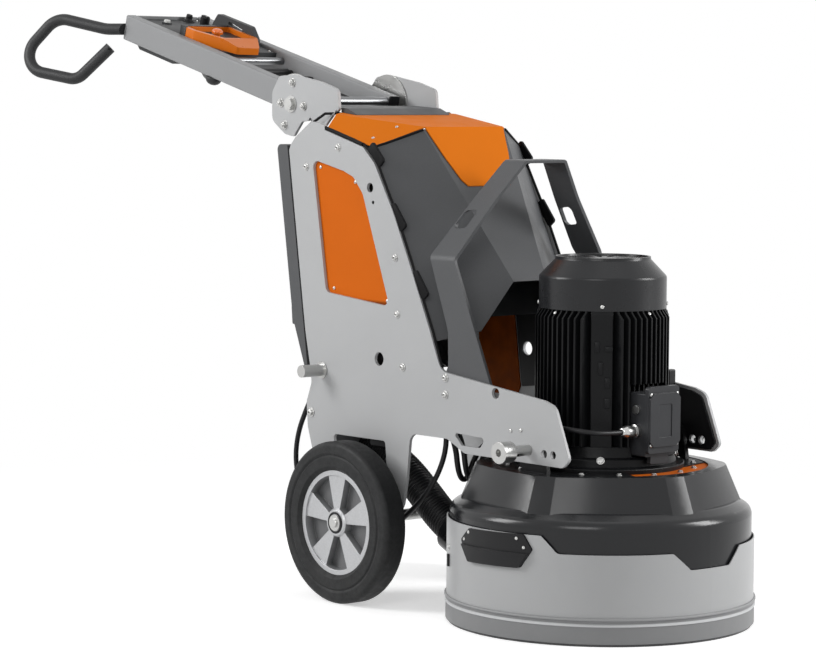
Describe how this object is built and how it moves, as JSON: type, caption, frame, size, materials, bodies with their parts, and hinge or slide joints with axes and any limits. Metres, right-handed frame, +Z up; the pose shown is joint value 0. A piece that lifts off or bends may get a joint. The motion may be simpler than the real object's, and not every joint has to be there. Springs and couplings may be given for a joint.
{
  "type": "planetary floor grinder",
  "caption": "Walk-behind planetary concrete grinder with a folding handle, side plates on two wheels, a hinged grinding head, an electric motor and a floating dust skirt.",
  "frame": {"origin": "centre of the machine's footprint on the floor", "axes": "+X forward to the grinding head, +Y to the operator's left, +Z up"},
  "size_m": [2.3862, 0.76, 1.4821],
  "materials": {
    "frame_grey": "powder-coated satin",
    "orange": "powder-coated satin",
    "dark_grey": "powder-coated satin",
    "black_plastic": "moulded matte",
    "motor_black": "semi-gloss",
    "tyre": "matte",
    "rubber": "matte",
    "aluminium": "cast satin",
    "zinc": "zinc plated",
    "chrome": "polished",
    "stop_red": "glossy",
    "button_white": "glossy",
    "brush": "bristle",
    "tool_steel": "machined"
  },
  "bodies": {
    "chassis": {"side_frame_right": "frame_grey", "side_frame_left": "frame_grey", "arm_liners": "black_plastic", "window_panels": "orange", "body_cover": "dark_grey", "hood": "orange", "hood_strip": "dark_grey", "equipment_box": "dark_grey", "drive_unit": "black_plastic", "lifting_bow": "dark_grey", "axle": "zinc", "tie_bars": "zinc", "hose_port": "dark_grey", "pivot_bolts": "zinc", "lock_discs": "zinc", "cable_loop": "rubber", "dust_hose": "rubber", "mist_hoses": "rubber", "motor_cable": "rubber"},
    "door": {"rear_door": "dark_grey"},
    "wheel_right": {"tyre_right": "tyre", "rim_right": "aluminium"},
    "wheel_left": {"tyre_left": "tyre", "rim_left": "aluminium"},
    "handle": {"rail_right": "frame_grey", "rail_left": "frame_grey", "grip_right": "rubber", "grip_left": "rubber", "end_plate": "frame_grey", "cross_tubes": "chrome", "lock_blocks": "black_plastic", "control_tray": "black_plastic", "control_housing": "orange", "guard_hoop": "black_plastic"},
    "release": {"release_bar": "black_plastic"},
    "plunger_r": {"plunger_right": "zinc"},
    "plunger_l": {"plunger_left": "zinc"},
    "stop": {"estop": "stop_red"},
    "start": {"start_button": "button_white"},
    "speed": {"speed_knob": "black_plastic"},
    "mode": {"mode_knob": "black_plastic"},
    "pin_r": {"arm_pin_right": "zinc"},
    "pin_l": {"arm_pin_left": "zinc"},
    "head": {"head_cover": "dark_grey", "top_plate": "orange", "head_lugs": "motor_black", "motor_flange": "motor_black", "motor_housing": "motor_black", "fan_cowl": "motor_black", "terminal_box": "motor_black", "cable_gland": "zinc"},
    "motor_fan": {"fan": "black_plastic"},
    "skirt": {"skirt_band": "frame_grey", "skirt_ring": "frame_grey", "brush_seal": "brush", "skirt_pads": "black_plastic"},
    "carrier": {"planet_carrier": "tool_steel"},
    "tool_1": {"satellite_1": "tool_steel"},
    "tool_2": {"satellite_2": "tool_steel"},
    "tool_3": {"satellite_3": "tool_steel"}
  },
  "joints": [
    {"name": "door_hinge", "type": "hinge", "parent": "chassis", "child": "door", "pos_m": [-0.03129, 0.2485, 0.8], "axis": [0.1488, 0, -0.9889], "range_deg": [0, 110]},
    {"name": "wheel_right_spin", "type": "hinge", "parent": "chassis", "child": "wheel_right", "pos_m": [0.246, -0.33, 0.202], "axis": [0, 1, 0], "continuous": true},
    {"name": "wheel_left_spin", "type": "hinge", "parent": "chassis", "child": "wheel_left", "pos_m": [0.246, 0.33, 0.202], "axis": [0, 1, 0], "continuous": true},
    {"name": "handle_tilt", "type": "hinge", "parent": "chassis", "child": "handle", "pos_m": [-0.167, 0, 1.233], "axis": [0, 1, 0], "range_deg": [-35, 70]},
    {"name": "release_slide", "type": "slide", "parent": "handle", "child": "release", "axis": [0.9673, 0, -0.2538], "range_m": [0, 0.01]},
    {"name": "plunger_right_slide", "type": "slide", "parent": "handle", "child": "plunger_r", "axis": [0, -1, 0], "range_m": [0, 0.005]},
    {"name": "plunger_left_slide", "type": "slide", "parent": "handle", "child": "plunger_l", "axis": [0, 1, 0], "range_m": [0, 0.005]},
    {"name": "stop_press", "type": "slide", "parent": "handle", "child": "stop", "axis": [-0.2538, 0, -0.9673], "range_m": [0, 0.004]},
    {"name": "start_press", "type": "slide", "parent": "handle", "child": "start", "axis": [-0.2538, 0, -0.9673], "range_m": [0, 0.0035], "stiffness_N_per_m": 400, "springref_m": -0.002},
    {"name": "speed_turn", "type": "hinge", "parent": "handle", "child": "speed", "pos_m": [-0.84325, 0.058, 1.44142], "axis": [0.2538, 0, 0.9673], "range_deg": [-135, 135]},
    {"name": "mode_turn", "type": "hinge", "parent": "handle", "child": "mode", "pos_m": [-0.91386, 0.058, 1.45995], "axis": [0.2538, 0, 0.9673], "range_deg": [-45, 45]},
    {"name": "arm_pin_right_slide", "type": "slide", "parent": "chassis", "child": "pin_r", "axis": [0, -1, 0], "range_m": [0, 0.035]},
    {"name": "arm_pin_left_slide", "type": "slide", "parent": "chassis", "child": "pin_l", "axis": [0, 1, 0], "range_m": [0, 0.035]},
    {"name": "head_tilt", "type": "hinge", "parent": "chassis", "child": "head", "pos_m": [0.833, 0, 0.432], "axis": [0, 1, 0], "range_deg": [-1.5, 1.5]},
    {"name": "fan_spin", "type": "hinge", "parent": "head", "child": "motor_fan", "pos_m": [0.815, 0, 0.8], "axis": [0, 0, 1], "continuous": true},
    {"name": "skirt_float", "type": "slide", "parent": "head", "child": "skirt", "axis": [0, 0, 1], "range_m": [0, 0.015]},
    {"name": "carrier_spin", "type": "hinge", "parent": "head", "child": "carrier", "pos_m": [0.815, 0, 0.2], "axis": [0, 0, 1], "continuous": true},
    {"name": "tool_1_spin", "type": "hinge", "parent": "carrier", "child": "tool_1", "pos_m": [0.915, 0.1732, 0.1], "axis": [0, 0, 1], "continuous": true},
    {"name": "tool_2_spin", "type": "hinge", "parent": "carrier", "child": "tool_2", "pos_m": [0.615, 0, 0.1], "axis": [0, 0, 1], "continuous": true},
    {"name": "tool_3_spin", "type": "hinge", "parent": "carrier", "child": "tool_3", "pos_m": [0.915, -0.1732, 0.1], "axis": [0, 0, 1], "continuous": true}
  ],
  "couplings": [
    {"joint": "plunger_right_slide", "follows": "release_slide", "ratio": 0.5},
    {"joint": "plunger_left_slide", "follows": "release_slide", "ratio": 0.5},
    {"joint": "tool_1_spin", "follows": "carrier_spin", "ratio": -3},
    {"joint": "tool_2_spin", "follows": "carrier_spin", "ratio": -3},
    {"joint": "tool_3_spin", "follows": "carrier_spin", "ratio": -3}
  ]
}
